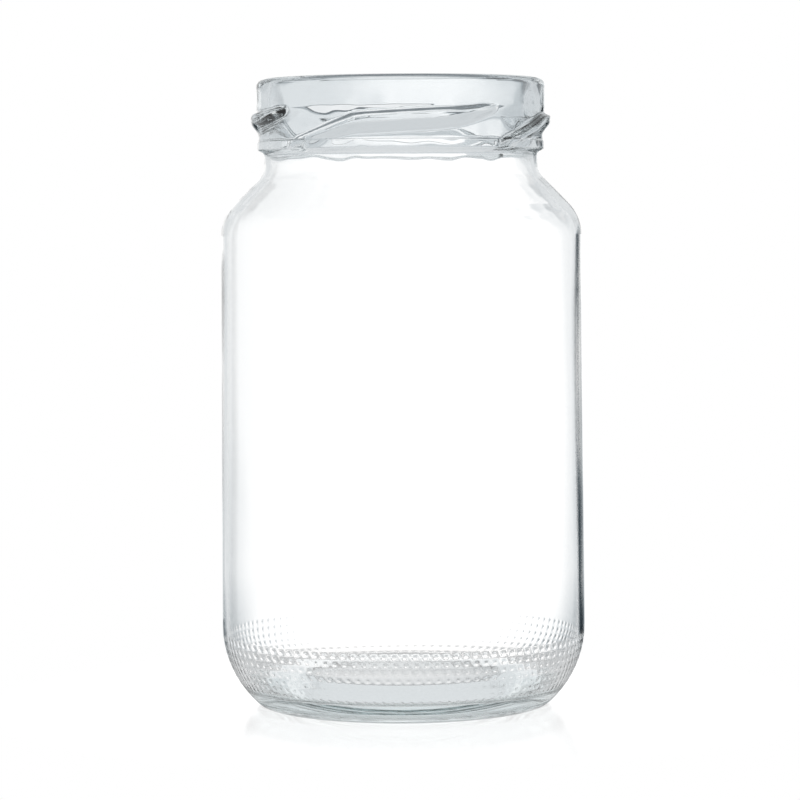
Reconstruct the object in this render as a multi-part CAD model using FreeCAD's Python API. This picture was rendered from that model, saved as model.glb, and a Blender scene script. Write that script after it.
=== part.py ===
import FreeCAD, Part
import math
import os

# A round glass jar for preserves, with a four-lug twist-off finish and an open mouth.
# One solid of glass. Millimetres, +Z up, origin at the centre of the standing plane.

# Outer form
overall_height = 130.4
body_diameter = 76.0          # widest, just above the heel
body_draft = 0.5              # the side wall leans in by this much on each side, heel to shoulder
heel_radius = 21.8            # large arc between side wall and foot
heel_turn = 47.2              # degrees that the large arc turns through
foot_radius = 3.7             # small arc between the large one and the standing ring
standing_ring_width = 1.2     # flat ring that the jar rests on
shoulder_drop = 9.3           # height of the sloping shoulder, corner to corner
shoulder_radius = 9.0
neck_radius = 4.7             # hollow curve between neck and shoulder

# Finish: the threaded ring at the mouth
finish_diameter = 60.0
finish_height = 14.7          # rim to the underside of the transfer bead
finish_relief = 0.45          # the ring below the lugs is this much smaller in radius than the rim
bead_height = 1.7             # low band at the foot of the finish
bead_proud = 0.25
neck_recess = 1.6             # radial step from the rim down to the neck
step_height = 0.8             # height of the slope under the bead
neck_length = 3.7             # underside of the step to the corner of neck and shoulder
rim_outer_radius = 1.5
rim_inner_radius = 1.2

# Lugs
lug_count = 4
lug_proud = 1.57              # how far a lug stands out of the finish
lug_radius = 2.2              # radius of its round back
lug_depth = 8.4               # rim to the middle of a lug, at its centre
lug_low_end = -45.5           # degrees from the lug's centre, round the jar
lug_high_end = 36.0
lug_lead_start = -18.0        # the lead-in runs down from here to the low end
lug_lead_slope = 0.165        # millimetres down for each degree of lead-in
lug_rise_start = 24.0         # the last stretch climbs from here to the high end
lug_rise_slope = 0.075
lug_slope = 0.028             # gentle climb of the middle stretch
lug_ease = 8.0                # degrees over which one slope changes into the next
lug_stations = 19

# Glass
finish_wall = 2.9
side_wall_top = 1.1
side_wall_foot = 1.1
shoulder_root_wall = 0.5      # glass under the corner of neck and shoulder, down the axis
shoulder_edge_wall = 0.6      # the same under the corner of shoulder and side
inner_neck_radius = 6.0
inner_shoulder_radius = 8.0
inner_heel_radius = 20.0      # the inside follows the large arc of the heel
inner_heel_turn = 33.0        # degrees that it turns through before the floor
inner_heel_reach = 4.6        # how far in from the side wall the corner of heel and floor lies
floor_edge_radius = 2.0       # arc between heel and floor
push_up = 3.0                 # height of the hollow under the base
push_up_flat = 3.0            # radius of the level middle of the hollow under the base
push_up_foot_radius = 3.0     # small arc between the hollow and the standing ring
floor_wall = 4.2              # glass at the middle of the base
floor_fall_width = 8.3        # how far in from the corner of heel and floor the level middle starts to fall
floor_fall_radius = 12.0      # rounding between the level middle and the fall


# Radii and heights worked out from the sizes above
finish_radius = finish_diameter / 2
body_radius = body_diameter / 2
shoulder_edge = body_radius - body_draft
neck_wall_radius = finish_radius - neck_recess
bore_radius = finish_radius - finish_wall
relief_radius = finish_radius - finish_relief
bead_radius = relief_radius + bead_proud
bead_foot = overall_height - finish_height
step_foot = bead_foot - step_height
neck_corner = step_foot - neck_length
shoulder_corner = neck_corner - shoulder_drop
heel_angle = math.radians(heel_turn)
heel_run = heel_radius * math.tan(heel_angle / 2) + foot_radius * math.tan((math.pi / 2 - heel_angle) / 2)
heel_corner = heel_run * math.cos(heel_angle)
foot_corner = body_radius - heel_run * math.sin(heel_angle)
ring_outer = foot_corner - foot_radius * math.tan((math.pi / 2 - heel_angle) / 2)
ring_inner = ring_outer - standing_ring_width
lug_path_radius = finish_radius + lug_proud - lug_radius
lug_centre_height = overall_height - lug_depth


def point(radius, height):
    """A point of a profile, in the X-Z plane."""
    return FreeCAD.Vector(radius, 0, height)


def rounded_outline(corners):
    """Edges of an open outline through corners (radius, height, rounding), each corner an arc tangent to both sides."""
    edges = []
    here = point(*corners[0][:2])
    for before, corner, after in zip(corners, corners[1:], corners[2:]):
        middle = point(*corner[:2])
        back = (point(*before[:2]) - middle).normalize()
        ahead = (point(*after[:2]) - middle).normalize()
        turn = math.pi - back.getAngle(ahead)
        reach = corner[2] * math.tan(turn / 2)
        arc_start = middle + back * reach
        arc_end = middle + ahead * reach
        if arc_start.distanceToPoint(here) > 1e-6:
            edges.append(Part.LineSegment(here, arc_start).toShape())
        if corner[2] > 0:
            bisector = (back + ahead).normalize()
            arc_middle = middle + bisector * (corner[2] / math.cos(turn / 2) - corner[2])
            edges.append(Part.Arc(arc_start, arc_middle, arc_end).toShape())
        here = arc_end
    edges.append(Part.LineSegment(here, point(*corners[-1][:2])).toShape())
    return edges


def turned(corners):
    """A solid of revolution about the Z axis, from an outline that starts and ends on the axis."""
    edges = rounded_outline(corners)
    closing = Part.LineSegment(point(*corners[-1][:2]), point(*corners[0][:2])).toShape()
    face = Part.Face(Part.Wire(edges + [closing]))
    return face.revolve(FreeCAD.Vector(0, 0, 0), FreeCAD.Vector(0, 0, 1), 360)


def dome(rise, reach, edge_radius):
    """A dome that meets an arc of edge_radius at its rim: its slope there, its radius, and how far out its corner lies.

    The arc's lowest point is reach from where the dome starts to fall and rise below it.
    """
    slope = 2 * math.atan(rise / reach)
    radius = reach / math.sin(slope) - edge_radius
    return slope, radius, radius * math.tan(slope / 2)


def outer_form():
    """The jar as if it were solid glass, without its lugs."""
    slope, dome_radius, dome_corner = dome(push_up, ring_inner - push_up_flat, push_up_foot_radius)
    return turned([
        (0, push_up, 0),
        (push_up_flat + dome_corner, push_up, dome_radius),
        (ring_inner - push_up_foot_radius * math.tan(slope / 2), 0, push_up_foot_radius),
        (foot_corner, 0, foot_radius),
        (body_radius, heel_corner, heel_radius),
        (shoulder_edge, shoulder_corner, shoulder_radius),
        (neck_wall_radius, neck_corner, neck_radius),
        (neck_wall_radius, step_foot, 0),
        (bead_radius, bead_foot, 0),
        (bead_radius, bead_foot + bead_height, 0),
        (relief_radius, bead_foot + bead_height + bead_proud, 0),
        (relief_radius, lug_centre_height, 0),
        (finish_radius, lug_centre_height + lug_radius, 0),
        (finish_radius, overall_height, rim_outer_radius),
        (0, overall_height, 0),
    ])


def inner_form():
    """The hollow of the jar, from the floor up through the mouth."""
    above_rim = overall_height + rim_inner_radius
    floor_height = push_up + floor_wall
    wall_foot = body_radius - side_wall_foot
    turn = math.radians(inner_heel_turn)
    arc_top = heel_corner + heel_radius * math.tan(heel_angle / 2)
    wall_corner = arc_top - inner_heel_radius * math.tan(turn / 2)
    floor_edge = wall_foot - inner_heel_reach
    floor_edge_height = wall_corner - inner_heel_reach / math.tan(turn)
    return turned([
        (0, floor_height, 0),
        (floor_edge - floor_fall_width, floor_height, floor_fall_radius),
        (floor_edge, floor_edge_height, floor_edge_radius),
        (wall_foot, wall_corner, inner_heel_radius),
        (shoulder_edge - side_wall_top, shoulder_corner - shoulder_edge_wall, inner_shoulder_radius),
        (bore_radius, neck_corner - shoulder_root_wall, inner_neck_radius),
        (bore_radius, overall_height, rim_inner_radius),
        (bore_radius + 2 * rim_inner_radius, overall_height, 0),
        (bore_radius + 2 * rim_inner_radius, above_rim, 0),
        (0, above_rim, 0),
    ])


def eased(distance):
    """How far past a change of slope an angle lies: 0 well before it, the distance well after it, smooth between."""
    if distance <= -lug_ease / 2:
        return 0.0
    if distance >= lug_ease / 2:
        return distance
    return (distance + lug_ease / 2) ** 2 / (2 * lug_ease)


def lug_point(degrees):
    """A point of a lug's centre line, degrees round from its centre at the front of the jar."""
    height = lug_centre_height + lug_slope * degrees
    height -= (lug_lead_slope - lug_slope) * eased(lug_lead_start - degrees)
    height += (lug_rise_slope - lug_slope) * eased(degrees - lug_rise_start)
    angle = math.radians(degrees)
    return FreeCAD.Vector(lug_path_radius * math.sin(angle), -lug_path_radius * math.cos(angle), height)


def lug():
    """One lug: a round bar along its centre line, with a ball at each end, mostly buried in the finish."""
    span = lug_high_end - lug_low_end
    places = [lug_point(lug_low_end + span * i / (lug_stations - 1)) for i in range(lug_stations)]
    line = Part.BSplineCurve()
    line.interpolate(places)
    bar = line.toShape()
    start, along = line.value(line.FirstParameter), line.tangent(line.FirstParameter)[0]
    section = Part.Wire(Part.Circle(start, along, lug_radius).toShape())
    solid = Part.Wire(bar).makePipeShell([section], True, True)
    for parameter, outward in ((line.FirstParameter, -1), (line.LastParameter, 1)):
        end_axis = line.tangent(parameter)[0] * outward
        ball = Part.makeSphere(lug_radius, line.value(parameter), end_axis, 0, 90, 360)
        solid = solid.fuse(ball)
    return solid


def jar():
    """The whole jar: outer form and lugs, less the hollow."""
    solid = outer_form()
    first = lug()
    for i in range(lug_count):
        another = first.copy()
        another.rotate(FreeCAD.Vector(0, 0, 0), FreeCAD.Vector(0, 0, 1), 360 * i / lug_count)
        solid = solid.fuse(another)
    solid = solid.cut(inner_form())
    return solid.Solids[0]


os.makedirs("parts", exist_ok=True)
shape = jar()
shape.exportStep("parts/jar.step")
hollow = inner_form()
print("glass cm3", round(shape.Volume / 1000, 2), "hollow to the rim cm3", round(hollow.Volume / 1000, 2))
print("valid", shape.isValid(), "closed", shape.isClosed(), "box", shape.BoundBox)
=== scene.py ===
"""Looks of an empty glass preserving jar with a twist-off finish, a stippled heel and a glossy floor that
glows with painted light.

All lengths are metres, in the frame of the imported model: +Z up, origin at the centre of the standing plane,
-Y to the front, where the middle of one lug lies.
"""
import logging
import math
from dataclasses import dataclass, field
from typing import Callable, Sequence, Union

import bmesh
import bpy
from mathutils import Matrix, Vector


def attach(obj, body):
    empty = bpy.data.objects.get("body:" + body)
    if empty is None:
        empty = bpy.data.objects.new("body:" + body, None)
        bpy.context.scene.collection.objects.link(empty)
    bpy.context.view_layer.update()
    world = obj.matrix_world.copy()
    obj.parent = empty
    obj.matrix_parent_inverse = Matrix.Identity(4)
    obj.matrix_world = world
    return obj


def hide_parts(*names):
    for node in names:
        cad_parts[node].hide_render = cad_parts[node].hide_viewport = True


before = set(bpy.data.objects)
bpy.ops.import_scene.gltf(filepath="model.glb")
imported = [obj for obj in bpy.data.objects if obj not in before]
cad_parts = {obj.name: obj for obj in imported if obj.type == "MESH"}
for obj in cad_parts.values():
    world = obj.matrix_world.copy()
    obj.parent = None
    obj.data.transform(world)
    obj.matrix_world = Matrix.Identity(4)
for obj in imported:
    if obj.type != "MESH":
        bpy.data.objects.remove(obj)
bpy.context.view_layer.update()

log = logging.getLogger("jar")
MM = 0.001
WELD = 1e-6
SMALL_ROUNDING = 2.0 * MM
SMALL_ROUNDING_STEPS = 3.0
LUG_EASE = 4.0
WANDER_EASE = 3.0 * MM
Point = tuple[float, float]
Corner = tuple[float, float, float, float]
Number = Union[float, "Field"]


class Field:
    """A value in a node tree that can be used in plain arithmetic."""

    def __init__(self, writer: "TreeWriter", socket: bpy.types.NodeSocket) -> None:
        """Keeps the socket and the writer whose tree it is in.

        Args:
            writer: The writer of the tree.
            socket: An output socket in that tree.
        """
        self.writer = writer
        self.socket = socket

    def __add__(self, other: Number) -> "Field":
        """The sum."""
        return self.writer.math("ADD", self, other)

    def __radd__(self, other: Number) -> "Field":
        """The sum, with a plain number first."""
        return self.writer.math("ADD", other, self)

    def __sub__(self, other: Number) -> "Field":
        """The difference."""
        return self.writer.math("SUBTRACT", self, other)

    def __rsub__(self, other: Number) -> "Field":
        """The difference, with a plain number first."""
        return self.writer.math("SUBTRACT", other, self)

    def __mul__(self, other: Number) -> "Field":
        """The product."""
        return self.writer.math("MULTIPLY", self, other)

    def __rmul__(self, other: Number) -> "Field":
        """The product, with a plain number first."""
        return self.writer.math("MULTIPLY", other, self)

    def __truediv__(self, other: Number) -> "Field":
        """The quotient."""
        return self.writer.math("DIVIDE", self, other)

    def __abs__(self) -> "Field":
        """The value without its sign."""
        return self.writer.math("ABSOLUTE", self)


class TreeWriter:
    """Adds nodes to a geometry or shader tree and links them."""

    def __init__(self, tree: bpy.types.NodeTree) -> None:
        """Starts writing into a tree.

        Args:
            tree: The tree that gets the nodes.
        """
        self.tree = tree

    def node(self, kind: str, settings: dict | None = None, **inputs: object) -> bpy.types.Node:
        """Adds a node.

        Args:
            kind: The node's type name.
            settings: Values for the node's own properties.
            **inputs: Values or fields for its input sockets, with underscores for the spaces in their names.

        Returns:
            The new node.
        """
        made = self.tree.nodes.new(kind)
        for name, value in (settings or {}).items():
            setattr(made, name, value)
        for name, value in inputs.items():
            self.put(made.inputs[name.replace("_", " ")], value)
        return made

    def put(self, socket: bpy.types.NodeSocket, value: object) -> None:
        """Links a field to an input socket, or sets the socket's own value.

        Args:
            socket: The input socket.
            value: A field or an output socket to link, or a plain value to set.
        """
        if isinstance(value, Field):
            value = value.socket
        if isinstance(value, bpy.types.NodeSocket):
            self.tree.links.new(value, socket)
        else:
            socket.default_value = value

    def field(self, socket: bpy.types.NodeSocket) -> Field:
        """The output socket as a field."""
        return Field(self, socket)

    def math(self, operation: str, *values: Number) -> Field:
        """Adds a Math node.

        Args:
            operation: What the node does.
            *values: Up to three numbers or fields.

        Returns:
            The node's result.
        """
        made = self.node("ShaderNodeMath", {"operation": operation})
        for socket, value in zip(made.inputs, values):
            self.put(socket, value)
        return self.field(made.outputs[0])

    def smooth_step(self, value: Number, start: Number, end: Number) -> Field:
        """Adds a node that gives 0 up to a start, 1 from an end, and a smooth climb between them.

        Args:
            value: The number that is compared with the start and the end.
            start: Where the climb starts.
            end: Where it ends.

        Returns:
            The node's result.
        """
        made = self.node("ShaderNodeMapRange", {"interpolation_type": "SMOOTHSTEP"})
        for name, number in (("Value", value), ("From Min", start), ("From Max", end)):
            self.put(made.inputs[name], number)
        return self.field(made.outputs[0])

    def vector(self, x: Number, y: Number, z: Number) -> Field:
        """Three numbers as one vector."""
        return self.field(self.node("ShaderNodeCombineXYZ", X=x, Y=y, Z=z).outputs[0])

    def parts(self, vector: Field) -> tuple[Field, Field, Field]:
        """The three parts of a vector."""
        made = self.node("ShaderNodeSeparateXYZ", Vector=vector)
        return tuple(self.field(out) for out in made.outputs)


@dataclass
class ShapeTree:
    """A Geometry Nodes tree with named inputs, which turns a starting mesh into a finished one."""

    name: str
    inputs: dict[str, str]
    write: Callable[[TreeWriter, Field, dict[str, Field]], bpy.types.NodeSocket]
    tree: bpy.types.NodeTree = field(init=False)
    sockets: dict[str, str] = field(init=False, default_factory=dict)

    def __post_init__(self) -> None:
        """Builds the tree: its sockets, its body, and the closing Realize Instances and Set Material."""
        self.tree = bpy.data.node_groups.new(self.name, "GeometryNodeTree")
        face = self.tree.interface
        face.new_socket(name="Geometry", in_out="INPUT", socket_type="NodeSocketGeometry")
        face.new_socket(name="Geometry", in_out="OUTPUT", socket_type="NodeSocketGeometry")
        for name, kind in {**self.inputs, "Material": "NodeSocketMaterial"}.items():
            socket = face.new_socket(name=name, in_out="INPUT", socket_type=kind)
            self.sockets[name] = socket.identifier
        writer = TreeWriter(self.tree)
        entry = writer.node("NodeGroupInput")
        given = {name: writer.field(entry.outputs[name]) for name in self.inputs}
        made = self.write(writer, writer.field(entry.outputs["Geometry"]), given)
        smooth = writer.node("GeometryNodeSetShadeSmooth", Geometry=made)
        real = writer.node("GeometryNodeRealizeInstances", Geometry=smooth.outputs[0])
        dressed = writer.node("GeometryNodeSetMaterial", Geometry=real.outputs[0])
        writer.put(dressed.inputs["Material"], entry.outputs["Material"])
        leave = writer.node("NodeGroupOutput")
        writer.put(leave.inputs["Geometry"], dressed.outputs[0])

    def make(self, start: bpy.types.Mesh, values: dict[str, object]) -> bpy.types.Mesh:
        """Runs the tree on a mesh.

        Args:
            start: The mesh that the tree starts from.
            values: A value for each named input.

        Returns:
            The finished mesh, with no modifier behind it.
        """
        holder = bpy.data.objects.new(self.name, start)
        bpy.context.scene.collection.objects.link(holder)
        modifier = holder.modifiers.new(self.name, "NODES")
        modifier.node_group = self.tree
        for name, value in values.items():
            modifier[self.sockets[name]] = value
        bpy.context.view_layer.update()
        depsgraph = bpy.context.evaluated_depsgraph_get()
        made = bpy.data.meshes.new_from_object(holder.evaluated_get(depsgraph), depsgraph=depsgraph)
        bpy.data.objects.remove(holder)
        return made


class Outline:
    """An open outline in the plane of radius and height, as a chain of points."""

    def __init__(self, points: Sequence[Point]) -> None:
        """Keeps the points.

        Args:
            points: Radius and height of each point, in order.
        """
        self.points = [Vector(point) for point in points]

    @classmethod
    def rounded(cls, corners: Sequence[Corner], turn_step: float) -> "Outline":
        """An outline through corners, each rounded by an arc that is tangent to both of its sides.

        Args:
            corners: Radius, height and rounding of each corner, and the longest stretch between two points
                of the straight side that leads to it.
            turn_step: Largest turn between two points of an arc, in degrees. An arc with a small radius takes
                steps a few times as large.

        Returns:
            The outline.
        """
        made = cls([corners[0][:2]])
        for before, corner, after in zip(corners, corners[1:], corners[2:]):
            middle = Vector(corner[:2])
            back = (Vector(before[:2]) - middle).normalized()
            ahead = (Vector(after[:2]) - middle).normalized()
            turn = math.pi - back.angle(ahead)
            reach = corner[2] * math.tan(turn / 2)
            made.straight_to(middle + back * reach, corner[3])
            if corner[2] > 0:
                centre = middle + (back + ahead).normalized() * corner[2] / math.cos(turn / 2)
                spoke = middle + back * reach - centre
                side = -math.copysign(1, back.cross(ahead))
                coarser = SMALL_ROUNDING_STEPS if corner[2] < SMALL_ROUNDING else 1.0
                count = max(2, math.ceil(math.degrees(turn) / turn_step / coarser))
                for i in range(1, count + 1):
                    made.points.append(centre + Matrix.Rotation(side * turn * i / count, 2) @ spoke)
        made.straight_to(Vector(corners[-1][:2]), corners[-1][3])
        return made

    def straight_to(self, end: Vector, step: float) -> None:
        """Adds points in a straight line.

        Args:
            end: The last point that is added.
            step: The longest stretch between two points.
        """
        start = self.points[-1]
        count = math.ceil((end - start).length / step - WELD)
        self.points += [start.lerp(end, i / count) for i in range(1, count + 1)]

    def lengths(self) -> list[float]:
        """Measures along the outline.

        Returns:
            How far along it each point lies.
        """
        total = [0.0]
        for here, there in zip(self.points, self.points[1:]):
            total.append(total[-1] + (there - here).length)
        return total

    def length_where(self, height: float) -> float:
        """Finds where the outline last climbs through a height.

        Args:
            height: The height.

        Returns:
            How far along the outline that is.
        """
        lengths = self.lengths()
        found = 0.0
        for i, (here, there) in enumerate(zip(self.points, self.points[1:])):
            if here.y < height <= there.y:
                share = (height - here.y) / (there.y - here.y)
                found = lengths[i] + share * (lengths[i + 1] - lengths[i])
        return found

    def piece(self, start: float, end: float) -> "Outline":
        """Cuts out a stretch of the outline.

        Args:
            start: How far along the outline the stretch starts.
            end: How far along it ends.

        Returns:
            The stretch, as an outline.
        """
        lengths = self.lengths()

        def place(distance: float) -> Vector:
            """Finds the point at a distance along the outline.

            Args:
                distance: The distance.

            Returns:
                The point.
            """
            i = next(i for i in range(1, len(lengths)) if lengths[i] >= distance - 1e-12)
            share = (distance - lengths[i - 1]) / (lengths[i] - lengths[i - 1])
            return self.points[i - 1].lerp(self.points[i], share)

        inside = [p for p, at in zip(self.points, lengths) if start + WELD < at < end - WELD]
        return Outline([place(start), *inside, place(end)])

    def joined(self, other: "Outline") -> "Outline":
        """This outline and another that starts where it ends."""
        return Outline([*self.points, *other.points[1:]])

    def mesh(self) -> bpy.types.Mesh:
        """Makes the chain of points into a mesh of edges.

        Returns:
            The mesh, with radius along X and height along Z.
        """
        made = bpy.data.meshes.new("outline")
        vertices = [(p.x, 0, p.y) for p in self.points]
        made.from_pydata(vertices, [(i, i + 1) for i in range(len(vertices) - 1)], [])
        return made


def write_turned_wall(writer: TreeWriter, start: Field, given: dict[str, Field]) -> bpy.types.NodeSocket:
    """Turns a chain of points about the Z axis, one row of the grid for each point.

    Args:
        writer: The tree's writer.
        start: The chain, with radius along X and height along Z.
        given: Columns, the number round the axis, and Start Turn, the angle of the first.

    Returns:
        The wall, welded at its seam and poles.
    """
    rows = writer.field(writer.node("GeometryNodeAttributeDomainSize", Geometry=start).outputs["Point Count"])
    grid = writer.node("GeometryNodeMeshGrid", Vertices_X=given["Columns"] + 1, Vertices_Y=rows)
    index = writer.field(writer.node("GeometryNodeInputIndex").outputs[0])
    column = writer.math("FLOOR", (index + 0.5) / rows)
    row = index - column * rows
    sample = writer.node("GeometryNodeSampleIndex", {"data_type": "FLOAT_VECTOR"}, Geometry=start)
    position = writer.field(writer.node("GeometryNodeInputPosition").outputs[0])
    writer.put(sample.inputs["Value"], position)
    writer.put(sample.inputs["Index"], writer.math("ROUND", row))
    radius, _, height = writer.parts(writer.field(sample.outputs[0]))
    turn = column / given["Columns"] * math.tau + given["Start Turn"]
    place = on_circle(writer, turn, radius, height)
    placed = writer.node("GeometryNodeSetPosition", Geometry=grid.outputs[0], Position=place)
    return writer.node("GeometryNodeMergeByDistance", Geometry=placed.outputs[0], Distance=WELD).outputs[0]


def on_circle(writer: TreeWriter, turn: Field, radius: Field, height: Field) -> Field:
    """Places a point round the Z axis.

    Args:
        writer: The tree's writer.
        turn: The angle from the front, counted towards +X.
        radius: How far the point is from the axis.
        height: How high it is.

    Returns:
        The point.
    """
    across = writer.math("SINE", turn) * radius
    along = writer.math("COSINE", turn) * radius * -1
    return writer.vector(across, along, height)


def write_stipple(writer: TreeWriter, start: Field, given: dict[str, Field]) -> bpy.types.NodeSocket:
    """Lays tiles in rows and wraps them round the heel, each row a little further round than the one above.

    Args:
        writer: The tree's writer.
        start: One tile, a unit square with its dot standing up along Z.
        given: Columns and Rows of tiles, Skew in tiles for each row, and Heel Line, the outline that the
            rows climb.

    Returns:
        The stippled band, welded.
    """
    columns, rows = given["Columns"], given["Rows"]
    grid = writer.node("GeometryNodeMeshGrid", Vertices_X=columns, Vertices_Y=rows,
                       Size_X=columns - 1, Size_Y=rows - 1)
    laid = writer.node("GeometryNodeInstanceOnPoints", Points=grid.outputs[0], Instance=start)
    real = writer.node("GeometryNodeRealizeInstances", Geometry=laid.outputs[0])
    x, y, relief = writer.parts(writer.field(writer.node("GeometryNodeInputPosition").outputs[0]))
    row = y + rows / 2
    turn = (x + (columns - 1) / 2 - given["Skew"] * (row - rows)) / columns * math.tau
    line = writer.node("GeometryNodeObjectInfo", Object=given["Heel Line"])
    curve = writer.node("GeometryNodeMeshToCurve", Mesh=line.outputs["Geometry"])
    sample = writer.node("GeometryNodeSampleCurve", {"mode": "FACTOR", "use_all_curves": True})
    writer.put(sample.inputs["Curves"], curve.outputs[0])
    writer.put(sample.inputs["Factor"], row / rows)
    radius, _, height = writer.parts(writer.field(sample.outputs["Position"]))
    out_r, _, out_z = writer.parts(writer.field(sample.outputs["Tangent"]))
    place = on_circle(writer, turn, radius + out_z * relief, height - out_r * relief)
    wrapped = writer.node("GeometryNodeSetPosition", Geometry=real.outputs[0], Position=place)
    return writer.node("GeometryNodeMergeByDistance", Geometry=wrapped.outputs[0], Distance=WELD).outputs[0]


def write_lugs(writer: TreeWriter, start: Field, given: dict[str, Field]) -> bpy.types.NodeSocket:
    """Raises the lugs out of the finish, each along a line that climbs as a right-hand thread.

    Args:
        writer: The tree's writer.
        start: The turned wall.
        given: The lug's sizes, by the names of the tree's inputs.

    Returns:
        The wall with its lugs.
    """
    x, y, z = writer.parts(writer.field(writer.node("GeometryNodeInputPosition").outputs[0]))
    radius = writer.math("SQRT", x * x + y * y)
    degrees = writer.math("ARCTAN2", x, y * -1) * (180 / math.pi)
    low, pitch = given["Low End"], writer.math("DIVIDE", 360, given["Count"])
    along = writer.math("FLOORED_MODULO", degrees - low, pitch) + low
    lead = writer.math("SMOOTH_MAX", given["Lead Start"] - along, 0.0, LUG_EASE)
    rise = writer.math("SMOOTH_MAX", along - given["Rise Start"], 0.0, LUG_EASE)
    centre = given["Height"] + given["Slope"] * along
    centre = centre - (given["Lead Slope"] - given["Slope"]) * lead
    centre = centre + (given["Rise Slope"] - given["Slope"]) * rise
    low_share = writer.smooth_step(along, low, low + given["Low Taper"])
    high_share = writer.smooth_step(low + pitch - along, 0.0, given["High Taper"])
    share = low_share * high_share
    narrow = writer.smooth_step(abs(along), given["Narrow Start"], given["Narrow End"])
    width = (1 - narrow * (1 - given["End Width"])) * (writer.math("SQRT", share) * 0.5 + 0.5)
    away = (z - centre) / width
    crest = given["Crest Width"] / 2
    upper = writer.smooth_step(away, crest, crest + given["Upper Flank"])
    lower = writer.smooth_step(away * -1, crest, crest + given["Lower Flank"])
    outside = writer.math("GREATER_THAN", radius, given["Inside Limit"])
    swell = (1 - upper) * (1 - lower) * writer.math("SQRT", share) * outside * given["Proud"]
    push = writer.vector(x / radius * swell, y / radius * swell, 0.0)
    return writer.node("GeometryNodeSetPosition", Geometry=start, Offset=push).outputs[0]


def write_uneven_wall(writer: TreeWriter, start: Field, given: dict[str, Field]) -> bpy.types.NodeSocket:
    """Lets the inner wall wander a little from true, as blown glass does.

    Args:
        writer: The tree's writer.
        start: The turned wall, with its lugs.
        given: Depth, how far the wall wanders, Scale, how often, Upright, how often up and down compared with
            round the jar, Low and High, the heights between which it does, and Inner Radius, the largest
            radius of the inner wall.

    Returns:
        The wall, with its inside uneven.
    """
    x, y, z = writer.parts(writer.field(writer.node("GeometryNodeInputPosition").outputs[0]))
    radius = writer.math("SQRT", x * x + y * y)
    noise = writer.node("ShaderNodeTexNoise", {"noise_dimensions": "3D"}, Detail=1.0, Roughness=0.4)
    writer.put(noise.inputs["Vector"], writer.vector(x, y, z * given["Upright"]))
    writer.put(noise.inputs["Scale"], given["Scale"])
    wander = writer.field(noise.outputs[0]) - 0.5
    above = writer.smooth_step(z, given["Low"], given["Low"] + WANDER_EASE)
    below = writer.smooth_step(given["High"] - z, 0.0, WANDER_EASE)
    inside = writer.math("LESS_THAN", radius, given["Inner Radius"])
    push = wander * given["Depth"] * above * below * inside
    offset = writer.vector(x / radius * push, y / radius * push, 0.0)
    return writer.node("GeometryNodeSetPosition", Geometry=start, Offset=offset).outputs[0]


@dataclass
class Lugs:
    """The four raised threads that the cap's claws turn under."""

    count: int = 4
    proud: float = 1.57 * MM
    depth_below_rim: float = 8.4 * MM
    crest_width: float = 1.1 * MM
    upper_flank: float = 0.9 * MM
    lower_flank: float = 2.8 * MM
    low_end: float = -49.7
    low_taper: float = 6.0
    high_taper: float = 12.0
    slope: float = 0.028 * MM
    lead_start: float = -18.0
    lead_slope: float = 0.165 * MM
    rise_start: float = 24.0
    rise_slope: float = 0.075 * MM
    narrow_start: float = 12.0
    narrow_end: float = 38.0
    end_width: float = 0.68

    def raise_on(self, wall: bpy.types.Mesh, rim_height: float, inside_limit: float) -> bpy.types.Mesh:
        """Raises the lugs out of the wall.

        Args:
            wall: The turned wall.
            rim_height: Height of the rim.
            inside_limit: Radius that parts the outside of the finish from its bore.

        Returns:
            The wall with its lugs.
        """
        sizes = {
            "Count": self.count, "Proud": self.proud, "Height": rim_height - self.depth_below_rim,
            "Crest Width": self.crest_width, "Upper Flank": self.upper_flank, "Lower Flank": self.lower_flank,
            "Low End": self.low_end, "Low Taper": self.low_taper, "High Taper": self.high_taper,
            "Slope": self.slope, "Lead Start": self.lead_start, "Lead Slope": self.lead_slope,
            "Rise Start": self.rise_start, "Rise Slope": self.rise_slope, "Inside Limit": inside_limit,
            "Narrow Start": self.narrow_start, "Narrow End": self.narrow_end, "End Width": self.end_width,
        }
        kinds = {name: "NodeSocketInt" if name == "Count" else "NodeSocketFloat" for name in sizes}
        return ShapeTree("Lugs", kinds, write_lugs).make(wall, sizes)


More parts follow.
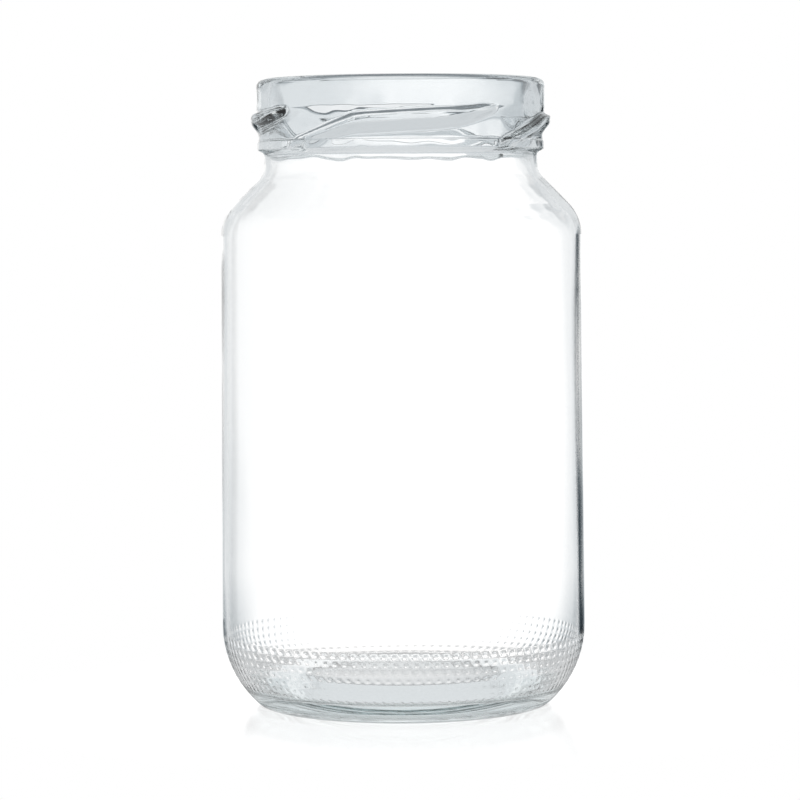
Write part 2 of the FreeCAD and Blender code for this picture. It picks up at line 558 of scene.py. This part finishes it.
@dataclass
class Stipple:
    """The band of small round dots that keeps the heel from sticking and scuffing."""

    columns: int = 114
    rows: int = 7
    pitch: float = 1.71 * MM
    first_row_height: float = 14.54 * MM
    skew: float = 0.123
    dot_radius: float = 0.42 * MM
    dot_height: float = 0.03 * MM
    tile_width: float = 1.85 * MM
    flank_radius_share: float = 0.72
    flank_height_share: float = 0.6
    crown_radius_share: float = 0.36
    crown_height_share: float = 0.94
    wall_columns_each: int = 3

    @property
    def wall_columns(self) -> int:
        """How many columns the plain wall needs, to meet the tiles corner to corner."""
        return self.columns * self.wall_columns_each

    @property
    def first_turn(self) -> float:
        """The turn of a corner between two tiles of the top row."""
        return math.pi / self.columns

    @property
    def last_turn(self) -> float:
        """The same at the foot of the bottom row, which lies a little further round."""
        return self.first_turn + self.skew * self.rows / self.columns * math.tau

    def tile(self) -> bpy.types.Mesh:
        """One tile: a unit square with a dot in its middle.

        Returns:
            The tile's mesh, with its relief in metres along Z.
        """
        made = bmesh.new()
        along = [i / self.wall_columns_each - 0.5 for i in range(self.wall_columns_each)]
        edge = [(x, -0.5) for x in along] + [(0.5, -0.5), (0.5, 0)]
        edge += [(-x, -y) for x, y in edge]
        turns = [math.atan2(y, x) for x, y in edge]
        across = self.dot_radius / self.tile_width

        def ring(share: float, height: float, step: int) -> list[bmesh.types.BMVert]:
            """Makes a ring of points round the dot.

            Args:
                share: The ring's share of the dot's radius.
                height: Its share of the dot's height.
                step: 1 for a point at each turn, 2 for one at every other.

            Returns:
                The points.
            """
            spokes = [(math.cos(turn), math.sin(turn)) for turn in turns[::step]]
            reach = across * share
            return [made.verts.new((c * reach, s * reach, height * self.dot_height)) for c, s in spokes]

        border = [made.verts.new((x, y, 0)) for x, y in edge]
        foot = ring(1.0, 0.0, 1)
        flank = ring(self.flank_radius_share, self.flank_height_share, 1)
        crown = ring(self.crown_radius_share, self.crown_height_share, 2)
        top = made.verts.new((0, 0, self.dot_height))
        for lower, upper in ((border, foot), (foot, flank)):
            for i in range(len(lower)):
                j = (i + 1) % len(lower)
                made.faces.new((lower[i], lower[j], upper[j], upper[i]))
        for i in range(len(crown)):
            j = (i + 1) % len(crown)
            a, b, c = flank[2 * i], flank[2 * i + 1], flank[(2 * i + 2) % len(flank)]
            made.faces.new((a, b, crown[i]))
            made.faces.new((b, c, crown[j], crown[i]))
            made.faces.new((crown[i], crown[j], top))
        mesh = bpy.data.meshes.new("stipple tile")
        made.to_mesh(mesh)
        made.free()
        return mesh

    def band(self, heel_line: Outline) -> bpy.types.Mesh:
        """The whole stippled band.

        Args:
            heel_line: The stretch of the outline that the rows cover, from the bottom row up.

        Returns:
            The band's mesh.
        """
        line = bpy.data.objects.new("heel line", heel_line.mesh())
        bpy.context.scene.collection.objects.link(line)
        kinds = {"Columns": "NodeSocketInt", "Rows": "NodeSocketInt", "Skew": "NodeSocketFloat",
                 "Heel Line": "NodeSocketObject"}
        values = {"Columns": self.columns, "Rows": self.rows, "Skew": self.skew, "Heel Line": line}
        made = ShapeTree("Stipple", kinds, write_stipple).make(self.tile(), values)
        bpy.data.objects.remove(line)
        return made


@dataclass(frozen=True)
class Wander:
    """How the inside of a stretch of wall wanders from true.

    Attributes:
        depth: How far it wanders.
        scale: How often it does, in waves to the metre.
        upright: How much of that there is up and down the wall, next to 1 round it.
        low: Where the stretch starts.
        high: Where it ends.
        inner_radius: A radius that parts the inside of the stretch from its outside.
    """

    depth: float
    scale: float
    upright: float
    low: float
    high: float
    inner_radius: float

    def applied(self, wall: bpy.types.Mesh) -> bpy.types.Mesh:
        """Makes the inside of a wall uneven.

        Args:
            wall: The wall.

        Returns:
            The uneven wall.
        """
        values = {"Depth": self.depth, "Scale": self.scale, "Upright": self.upright, "Low": self.low,
                  "High": self.high, "Inner Radius": self.inner_radius}
        kinds = {name: "NodeSocketFloat" for name in values}
        return ShapeTree("Uneven inside", kinds, write_uneven_wall).make(wall, values)


@dataclass
class GlassJar:
    """The jar: one closed body of glass with a finish, neck, shoulder, side wall, heel and pushed-up base."""

    height: float = 130.4 * MM
    radius: float = 38.0 * MM
    draft: float = 0.5 * MM
    heel_rounding: float = 21.8 * MM
    heel_corner: float = 7.46 * MM
    foot_rounding: float = 3.7 * MM
    foot_corner: float = 29.94 * MM
    ring_inner: float = 27.3 * MM
    ring_rounding: float = 3.0 * MM
    push_up: float = 3.0 * MM
    push_up_corner: float = 14.0 * MM
    push_up_rounding: float = 100.0 * MM
    shoulder_corner: float = 101.9 * MM
    shoulder_rounding: float = 9.0 * MM
    neck_radius: float = 28.4 * MM
    neck_corner: float = 111.2 * MM
    neck_rounding: float = 4.7 * MM
    step_foot: float = 114.9 * MM
    step_rounding: float = 0.8 * MM
    bead_foot: float = 115.7 * MM
    bead_foot_rounding: float = 0.6 * MM
    bead_top: float = 117.4 * MM
    bead_top_rounding: float = 0.3 * MM
    bead_radius: float = 29.8 * MM
    relief_radius: float = 29.55 * MM
    relief_top: float = 122.0 * MM
    finish_foot: float = 124.4 * MM
    lug_limit: float = 126.4 * MM
    finish_radius: float = 30.0 * MM
    rim_outer_rounding: float = 1.5 * MM
    rim_inner_rounding: float = 1.2 * MM
    bore_radius: float = 27.1 * MM
    bore_foot: float = 110.7 * MM
    bore_foot_rounding: float = 6.0 * MM
    inner_shoulder_corner: float = 101.3 * MM
    inner_shoulder_rounding: float = 8.0 * MM
    side_wall: float = 1.1 * MM
    inner_heel_corner: float = 11.08 * MM
    inner_heel_rounding: float = 20.0 * MM
    floor_edge_radius: float = 32.3 * MM
    floor_edge_height: float = 3.99 * MM
    floor_edge_rounding: float = 2.0 * MM
    floor_flat: float = 24.0 * MM
    floor_rounding: float = 12.0 * MM
    floor_height: float = 7.2 * MM
    outside_turn: float = 5.0
    inside_turn: float = 6.0
    body_wander: Wander = Wander(depth=0.25 * MM, scale=55.0, upright=0.3, low=20.0 * MM, high=98.0 * MM,
                                 inner_radius=37.3 * MM)
    neck_wander: Wander = Wander(depth=0.12 * MM, scale=230.0, upright=1.0, low=99.0 * MM, high=112.0 * MM,
                                 inner_radius=36.6 * MM)
    finish_wander: Wander = Wander(depth=0.5 * MM, scale=130.0, upright=1.0, low=112.0 * MM, high=128.5 * MM,
                                   inner_radius=27.8 * MM)
    lugs: Lugs = field(default_factory=Lugs)
    stipple: Stipple = field(default_factory=Stipple)

    @property
    def crown_radius(self) -> float:
        """Radius of the rim's highest line, where the outside and the inside meet."""
        return (self.finish_radius + self.bore_radius) / 2

    def outside(self) -> Outline:
        """Draws the outside.

        Returns:
            Its outline, from the middle of the base up to the rim's crown.
        """
        fine, plain, coarse = 0.4 * MM, 4.0 * MM, 30.0 * MM
        bead_slope = self.bead_radius - self.relief_radius
        return Outline.rounded([
            (0, self.push_up, 0, plain),
            (self.push_up_corner, self.push_up, self.push_up_rounding, plain),
            (self.ring_inner, 0, self.ring_rounding, plain),
            (self.foot_corner, 0, self.foot_rounding, plain),
            (self.radius, self.heel_corner, self.heel_rounding, plain),
            (self.radius - self.draft, self.shoulder_corner, self.shoulder_rounding, coarse),
            (self.neck_radius, self.neck_corner, self.neck_rounding, plain),
            (self.neck_radius, self.step_foot, self.step_rounding, plain),
            (self.bead_radius, self.bead_foot, self.bead_foot_rounding, plain),
            (self.bead_radius, self.bead_top, self.bead_top_rounding, plain),
            (self.relief_radius, self.bead_top + bead_slope, self.bead_top_rounding, plain),
            (self.relief_radius, self.relief_top, 0, fine),
            (self.finish_radius, self.finish_foot, 0, fine),
            (self.finish_radius, self.lug_limit, 0, fine),
            (self.finish_radius, self.height, self.rim_outer_rounding, plain),
            (self.crown_radius, self.height, 0, plain),
        ], self.outside_turn)

    def inside(self) -> Outline:
        """Draws the inside.

        Returns:
            Its outline, from the rim's crown down to the middle of the floor.
        """
        fine, plain, coarse = 1.2 * MM, 2.5 * MM, 12.0 * MM
        inner_radius = self.radius - self.side_wall
        return Outline.rounded([
            (self.crown_radius, self.height, 0, plain),
            (self.bore_radius, self.height, self.rim_inner_rounding, plain),
            (self.bore_radius, self.bore_foot, self.bore_foot_rounding, fine),
            (inner_radius - self.draft, self.inner_shoulder_corner, self.inner_shoulder_rounding, plain),
            (inner_radius, self.inner_heel_corner, self.inner_heel_rounding, coarse),
            (self.floor_edge_radius, self.floor_edge_height, self.floor_edge_rounding, plain),
            (self.floor_flat, self.floor_height, self.floor_rounding, plain),
            (0, self.floor_height, 0, plain),
        ], self.inside_turn)

    def build(self, finish: "Glass") -> bpy.types.Object:
        """Makes the jar's one piece and dresses it.

        Args:
            finish: The finish of the glass.

        Returns:
            The piece.
        """
        outside = self.outside()
        band_top = outside.length_where(self.stipple.first_row_height) + self.stipple.pitch / 2
        band_foot = band_top - self.stipple.pitch * self.stipple.rows
        whole = outside.lengths()[-1]
        upper = outside.piece(band_top, whole).joined(self.inside())
        lower = outside.piece(0.0, band_foot)
        kinds = {"Columns": "NodeSocketInt", "Start Turn": "NodeSocketFloat"}
        turned = ShapeTree("Turned wall", kinds, write_turned_wall)
        sizes = {"Columns": self.stipple.wall_columns, "Start Turn": self.stipple.first_turn}
        wall = turned.make(upper.mesh(), sizes)
        wall = self.lugs.raise_on(wall, self.height, (self.neck_radius + self.relief_radius) / 2)
        sizes["Start Turn"] = self.stipple.last_turn
        base = turned.make(lower.mesh(), sizes)
        band = self.stipple.band(outside.piece(band_foot, band_top))
        log.info("rows: %d above the band, %d under it", len(upper.points), len(lower.points))
        joined = weld([wall, band, base])
        for wander in (self.body_wander, self.neck_wander, self.finish_wander):
            joined = wander.applied(joined)
        piece = bpy.data.objects.new("jar_glass", joined)
        bpy.context.scene.collection.objects.link(piece)
        joined.materials.clear()
        joined.materials.append(finish.material())
        return piece


def weld(parts: Sequence[bpy.types.Mesh]) -> bpy.types.Mesh:
    """Joins meshes that meet point to point into one closed mesh, and logs a warning if an edge stays open.

    Args:
        parts: The meshes.

    Returns:
        The joined mesh.
    """
    made = bmesh.new()
    for part in parts:
        made.from_mesh(part)
    bmesh.ops.remove_doubles(made, verts=made.verts, dist=WELD * 5)
    open_edges = sum(1 for edge in made.edges if not edge.is_manifold)
    if open_edges:
        log.warning("%d open edges", open_edges)
    triangles = sum(len(face.verts) - 2 for face in made.faces)
    log.info("volume %.2f cm3, %d triangles", made.calc_volume(signed=True) * 1e6, triangles)
    for face in made.faces:
        face.smooth = True
    mesh = bpy.data.meshes.new("jar glass")
    made.to_mesh(mesh)
    made.free()
    return mesh


def ripple_group() -> bpy.types.NodeTree:
    """Builds the shader group for faint waves in a glossy surface, unless it is there already.

    Returns:
        The group, with Vector, Scale and Detail as its inputs and Height as its output.
    """
    known = bpy.data.node_groups.get("Faint waves")
    if known:
        return known
    group = bpy.data.node_groups.new("Faint waves", "ShaderNodeTree")
    face = group.interface
    face.new_socket(name="Vector", in_out="INPUT", socket_type="NodeSocketVector")
    face.new_socket(name="Scale", in_out="INPUT", socket_type="NodeSocketFloat")
    face.new_socket(name="Detail", in_out="INPUT", socket_type="NodeSocketFloat")
    face.new_socket(name="Height", in_out="OUTPUT", socket_type="NodeSocketFloat")
    writer = TreeWriter(group)
    entry = writer.node("NodeGroupInput")
    noise = writer.node("ShaderNodeTexNoise", Vector=entry.outputs["Vector"], Scale=entry.outputs["Scale"],
                        Detail=entry.outputs["Detail"])
    writer.node("NodeGroupOutput", Height=noise.outputs[0])
    return group


def new_material(name: str) -> tuple[bpy.types.Material, TreeWriter, bpy.types.Node, bpy.types.Node]:
    """An empty node material.

    Args:
        name: The material's name.

    Returns:
        The material, the writer of its tree, its Principled BSDF and its output.
    """
    material = bpy.data.materials.new(name)
    material.use_nodes = True
    material.node_tree.nodes.clear()
    writer = TreeWriter(material.node_tree)
    shader = writer.node("ShaderNodeBsdfPrincipled")
    output = writer.node("ShaderNodeOutputMaterial", Surface=shader.outputs[0])
    return material, writer, shader, output


@dataclass(frozen=True)
class Glass:
    """Clear soda-lime glass with a faint green cast, and painted shade in the colour of its finish."""

    name: str = "clear_glass"
    tint: tuple[float, float, float] = (0.992, 0.997, 1.0)
    # Painted shade: a darker colour for the glass from just under the bead up, standing in for the grey that
    # the thick finish shows.
    painted_shade_tint: tuple[float, float, float] = (0.82, 0.845, 0.86)
    painted_shade_above: float = 113.0 * MM
    painted_shade_blend: float = 6.0 * MM
    refraction: float = 1.52
    roughness: float = 0.0
    cast: tuple[float, float, float, float] = (0.80, 0.94, 0.95, 1.0)
    density: float = 7.0
    wave_scale: float = 60.0
    wave_height: float = 0.00002

    def material(self) -> bpy.types.Material:
        """The glass as a material.

        Returns:
            The material.
        """
        material, writer, shader, output = new_material(self.name)
        shader.inputs["Roughness"].default_value = self.roughness
        shader.inputs["IOR"].default_value = self.refraction
        shader.inputs["Transmission Weight"].default_value = 1.0
        place = writer.node("ShaderNodeTexCoord").outputs["Object"]
        _, _, height = writer.parts(writer.field(place))
        # Painted shade: the colour darkens from this height up, blending from the glass's own tint to the
        # painted dark one.
        painted_shade_share = writer.smooth_step(height, self.painted_shade_above, self.painted_shade_above + self.painted_shade_blend)
        tint = [own_tint + painted_shade_share * (painted_dark - own_tint) for own_tint, painted_dark in zip(self.tint, self.painted_shade_tint)]
        writer.put(shader.inputs["Base Color"], writer.vector(*tint))
        waves = writer.node("ShaderNodeGroup", {"node_tree": ripple_group()}, Vector=place,
                            Scale=self.wave_scale, Detail=1.0)
        bump = writer.node("ShaderNodeBump", Strength=1.0, Distance=self.wave_height,
                           Height=waves.outputs["Height"])
        writer.put(shader.inputs["Normal"], bump.outputs[0])
        volume = writer.node("ShaderNodeVolumeAbsorption", Color=self.cast, Density=self.density)
        writer.put(output.inputs["Volume"], volume.outputs[0])
        return material


@dataclass(frozen=True)
class PaintedGlowFloor:
    """The floor's finish: a dark, glossy sheet that looks pale because it glows with painted light, brighter
    at grazing views as a painted sheen, and fades out into the backdrop.
    """

    name: str = "painted_glow_floor"
    colour: tuple[float, float, float, float] = (0.12, 0.12, 0.12, 1.0)
    roughness: float = 0.15
    refraction: float = 1.42
    # Emission strengths of the painted glow: seen steeply, seen at grazing by the camera as a painted sheen,
    # and seen at grazing through the glass.
    painted_glow_steep: float = 0.55
    painted_sheen_grazing: float = 0.7
    painted_glow_through_glass: float = 0.02
    grazing_start: float = 0.6
    grazing_end: float = 0.86
    solid_radius: float = 0.05
    fade_radius: float = 0.09

    def material(self) -> bpy.types.Material:
        """The floor's finish as a material.

        Returns:
            The material.
        """
        material, writer, shader, _ = new_material(self.name)
        shader.inputs["Base Color"].default_value = self.colour
        shader.inputs["Roughness"].default_value = self.roughness
        shader.inputs["IOR"].default_value = self.refraction
        shader.inputs["Emission Color"].default_value = (1.0, 1.0, 1.0, 1.0)
        # Painted light: the glow rises at grazing views as a painted sheen for the camera, while rays through
        # the glass see it almost dark, as painted shade.
        facing = writer.field(writer.node("ShaderNodeLayerWeight", Blend=0.5).outputs["Facing"])
        grazing = writer.smooth_step(facing, self.grazing_start, self.grazing_end)
        seen = writer.field(writer.node("ShaderNodeLightPath").outputs["Is Camera Ray"])
        painted_far_glow = self.painted_glow_through_glass + seen * (self.painted_sheen_grazing - self.painted_glow_through_glass)
        painted_glow = self.painted_glow_steep + grazing * (painted_far_glow - self.painted_glow_steep)
        writer.put(shader.inputs["Emission Strength"], painted_glow)
        place = writer.field(writer.node("ShaderNodeTexCoord").outputs["Object"])
        distance = writer.node("ShaderNodeVectorMath", {"operation": "LENGTH"})
        writer.put(distance.inputs[0], place)
        reach = writer.field(distance.outputs["Value"])
        writer.put(shader.inputs["Alpha"], 1 - writer.smooth_step(reach, self.solid_radius, self.fade_radius))
        return material


@dataclass(frozen=True)
class Card:
    """A large soft card in the studio, as the jar sees it.

    Attributes:
        azimuth: Where its middle is, in degrees from the back of the studio towards +X.
        elevation: How high that is, in degrees over the horizon.
        inner: The card has its full effect up to this many degrees from its middle.
        outer: It has none from this many degrees on.
        gain: What it adds to the level of the light: a lit panel adds to it, and a dark flag takes from it.
    """

    azimuth: float
    elevation: float
    inner: float
    outer: float
    gain: float

    @property
    def direction(self) -> Vector:
        """The way to the card.

        Returns:
            A vector of length 1, with the azimuth counted from the back of the studio towards +X.
        """
        azimuth, elevation = math.radians(self.azimuth), math.radians(self.elevation)
        flat = math.cos(elevation)
        return Vector((math.sin(azimuth) * flat, math.cos(azimuth) * flat, math.sin(elevation)))


@dataclass
class Studio:
    """The floor, the soft light all round and the camera."""

    floor_radius: float = 0.1
    level: float = 0.75
    darkest: float = 0.02
    cards: tuple[Card, ...] = (
        Card(-6, -1, 8, 15, 0.32),
        Card(6, -2, 5, 10, 0.3),
        Card(-1, -14, 3, 9, 0.3),
        Card(-14, -14, 5, 12, -0.72),
        Card(14, -15, 5, 12, -0.75),
        Card(24, -4, 5, 9, -0.7),
        Card(0, -50, 20, 32, -0.6),
        Card(-80, 0, 15, 45, 0.2),
        Card(100, 0, 15, 50, 0.05),
        Card(180, 30, 30, 85, 0.3),
    )
    red_fall: float = 1.1
    blue_fall: float = 0.94
    camera_distance: float = 0.67827
    camera_height: float = 0.1028
    camera_tilt: float = 3.307
    camera_yaw: float = 0.0413
    camera_roll: float = -0.36
    lens: float = 146.22

    def build(self) -> None:
        """Makes the floor, the light and the camera."""
        self.floor()
        self.light()
        self.camera()

    def floor(self) -> None:
        """A round floor under the jar."""
        made = bmesh.new()
        bmesh.ops.create_circle(made, cap_ends=True, segments=96, radius=self.floor_radius)
        mesh = bpy.data.meshes.new("floor")
        made.to_mesh(mesh)
        made.free()
        mesh.materials.append(PaintedGlowFloor().material())
        floor = bpy.data.objects.new("floor", mesh)
        bpy.context.scene.collection.objects.link(floor)

    def light(self) -> None:
        """Soft light from every direction, shaped by the cards, with a white backdrop."""
        world = bpy.data.worlds.new("studio")
        bpy.context.scene.world = world
        world.use_nodes = True
        world.node_tree.nodes.clear()
        writer = TreeWriter(world.node_tree)
        direction = writer.field(writer.node("ShaderNodeTexCoord").outputs["Generated"])
        level = writer.math("ADD", self.level, 0.0)
        for card in self.cards:
            toward = writer.node("ShaderNodeVectorMath", {"operation": "DOT_PRODUCT"})
            writer.put(toward.inputs[0], direction)
            toward.inputs[1].default_value = card.direction
            cosine = writer.field(toward.outputs["Value"])
            outer, inner = math.cos(math.radians(card.outer)), math.cos(math.radians(card.inner))
            level = level + writer.smooth_step(cosine, outer, inner) * card.gain
        level = writer.math("MAXIMUM", level, self.darkest)
        seen = writer.field(writer.node("ShaderNodeLightPath").outputs["Is Camera Ray"])
        level = level * (1 - seen) + seen
        red = writer.math("POWER", level, self.red_fall)
        blue = writer.math("POWER", level, self.blue_fall)
        shade = writer.node("ShaderNodeBackground", Color=writer.vector(red, level, blue))
        writer.node("ShaderNodeOutputWorld", Surface=shade.outputs[0])

    def camera(self) -> None:
        """The camera, a little above the shoulder and looking slightly down."""
        made = bpy.data.cameras.new("camera")
        made.lens = self.lens
        made.sensor_width = 36.0
        made.clip_start = 0.01
        camera = bpy.data.objects.new("camera", made)
        turn = Matrix.Rotation(math.radians(self.camera_yaw), 4, "Z")
        tilt = Matrix.Rotation(math.radians(90 - self.camera_tilt), 4, "X")
        roll = Matrix.Rotation(math.radians(self.camera_roll), 4, "Z")
        place = Matrix.Translation((0, -self.camera_distance, self.camera_height))
        camera.matrix_world = place @ turn @ tilt @ roll
        bpy.context.scene.collection.objects.link(camera)
        bpy.context.scene.camera = camera


def main() -> None:
    """Builds the jar and its studio, and reports each piece."""
    logging.basicConfig(level=logging.INFO, format="%(name)s: %(message)s")
    scene = bpy.context.scene
    scene.view_settings.view_transform = "Standard"
    scene.cycles.max_bounces = 32
    scene.cycles.transmission_bounces = 28
    scene.cycles.glossy_bounces = 16
    piece = GlassJar().build(Glass())
    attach(piece, "root")
    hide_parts("jar")
    log.info("built %s with %d faces", piece.name, len(piece.data.polygons))
    Studio().build()
    log.info("built the studio")


if __name__ == "__main__":
    main()
